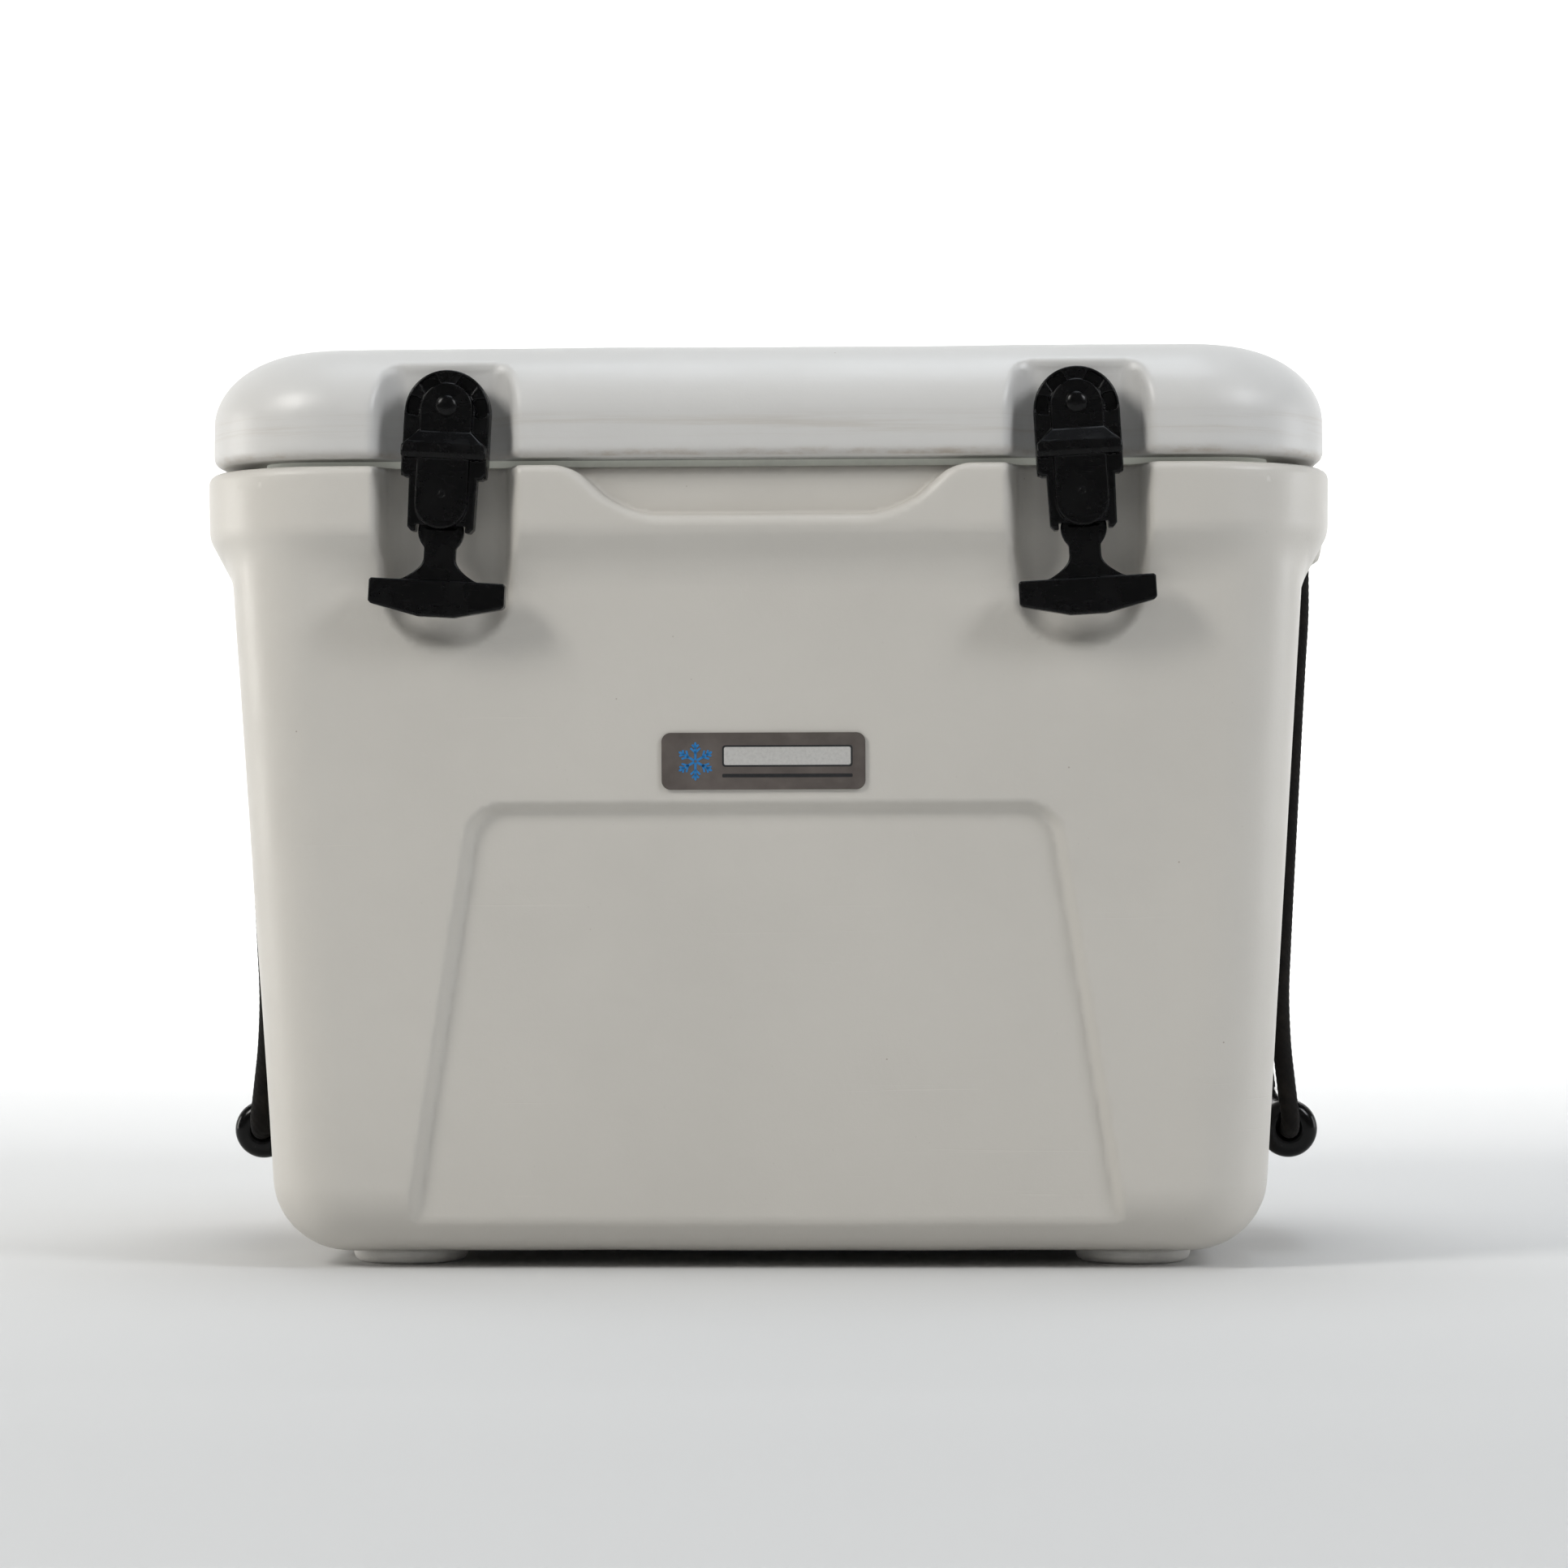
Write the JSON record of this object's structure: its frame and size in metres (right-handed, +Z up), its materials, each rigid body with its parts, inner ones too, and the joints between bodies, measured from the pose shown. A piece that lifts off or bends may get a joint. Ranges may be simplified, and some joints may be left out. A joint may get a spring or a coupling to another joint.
{
  "type": "cooler chest",
  "caption": "Insulated moulded cooler chest with a hinged lid, T-handle latches, rope side handles and a screw-in drain plug.",
  "frame": {"origin": "on the floor, under the middle of the chest", "axes": "+X towards the end with the drain plug, -Y towards the latches, +Z up"},
  "size_m": [0.574, 0.428, 0.4685],
  "materials": {
    "tub_plastic": "satin",
    "lid_plastic": "satin",
    "foam": "matte",
    "foot_rubber": "matte",
    "steel": "satin",
    "plate_metal": "satin",
    "black_plastic": "satin",
    "latch_plastic": "satin",
    "latch_rubber": "matte",
    "gasket_rubber": "matte",
    "rope": "matte",
    "grip_plastic": "gloss"
  },
  "bodies": {
    "tub": {"tub_floor": "tub_plastic", "tub_front": "tub_plastic", "tub_front_top": "tub_plastic", "tub_front_band": "tub_plastic", "tub_rear": "tub_plastic", "tub_end_left": "tub_plastic", "tub_end_right": "tub_plastic", "hinge_ears": "tub_plastic", "tub_foam": "foam", "tub_fill_plug": "tub_plastic", "foot_front_left": "foot_rubber", "foot_front_right": "foot_rubber", "foot_rear_left": "foot_rubber", "foot_rear_right": "foot_rubber", "foot_screws": "steel", "name_plate": "plate_metal", "keeper_left": "black_plastic", "keeper_right": "black_plastic", "keeper_screws": "steel", "drain_bushing": "black_plastic", "drain_nut": "black_plastic", "handle_knots_left": "rope", "handle_knots_right": "rope", "handle_washers": "steel", "hinge_pin_left": "steel", "hinge_pin_right": "steel"},
    "lid": {"lid_shell": "lid_plastic", "lid_foam": "foam", "lid_gasket": "gasket_rubber", "lid_fill_plug": "lid_plastic", "latch_mount_left": "black_plastic", "latch_mount_right": "black_plastic", "mount_screws": "steel", "latch_pin_left": "steel", "latch_pin_right": "steel"},
    "latch_left": {"latch_body_left": "latch_plastic", "latch_button_left": "latch_plastic", "latch_ball_left": "latch_rubber", "pull_pin_left": "steel"},
    "pull_left": {"pull_left": "latch_plastic"},
    "handle_left": {"rope_left": "rope", "grip_left": "grip_plastic"},
    "latch_right": {"latch_body_right": "latch_plastic", "latch_button_right": "latch_plastic", "latch_ball_right": "latch_rubber", "pull_pin_right": "steel"},
    "pull_right": {"pull_right": "latch_plastic"},
    "handle_right": {"rope_right": "rope", "grip_right": "grip_plastic"},
    "drain_washer": {"drain_washer": "latch_rubber"},
    "drain_plug": {"drain_plug": "black_plastic"}
  },
  "joints": [
    {"name": "lid_open", "type": "hinge", "parent": "tub", "child": "lid", "pos_m": [0, 0.205, 0.406], "axis": [-1, 0, 0], "range_deg": [0, 100]},
    {"name": "latch_left_swing", "type": "hinge", "parent": "lid", "child": "latch_left", "pos_m": [-0.15577, -0.19, 0.44398], "axis": [-0.9984, 0, 0.0558], "range_deg": [0, 85], "deforming": ["latch_ball_left"]},
    {"name": "pull_left_tilt", "type": "hinge", "parent": "latch_left", "child": "pull_left", "pos_m": [-0.15957, -0.1975, 0.37609], "axis": [-0.9984, 0, 0.0558], "range_deg": [0, 35]},
    {"name": "handle_left_swing", "type": "hinge", "parent": "tub", "child": "handle_left", "pos_m": [-0.277, 0, 0.36], "axis": [0, 1, 0], "range_deg": [0, 140], "deforming": ["rope_left"]},
    {"name": "latch_right_swing", "type": "hinge", "parent": "lid", "child": "latch_right", "pos_m": [0.15577, -0.19, 0.44398], "axis": [-0.9984, 0, -0.0558], "range_deg": [0, 85], "deforming": ["latch_ball_right"]},
    {"name": "pull_right_tilt", "type": "hinge", "parent": "latch_right", "child": "pull_right", "pos_m": [0.15957, -0.1975, 0.37609], "axis": [-0.9984, 0, -0.0558], "range_deg": [0, 35]},
    {"name": "handle_right_swing", "type": "hinge", "parent": "tub", "child": "handle_right", "pos_m": [0.277, 0, 0.36], "axis": [0, -1, 0], "range_deg": [0, 140], "deforming": ["rope_right"]},
    {"name": "drain_slide", "type": "slide", "parent": "tub", "child": "drain_washer", "axis": [1, 0, 0], "range_m": [0, 0.018]},
    {"name": "drain_turn", "type": "hinge", "parent": "drain_washer", "child": "drain_plug", "pos_m": [0.25, 0.108, 0.076], "axis": [1, 0, 0], "range_deg": [0, 1080]}
  ],
  "couplings": [
    {"joint": "drain_slide", "follows": "drain_turn", "m_per_rad": 0.00095493}
  ]
}
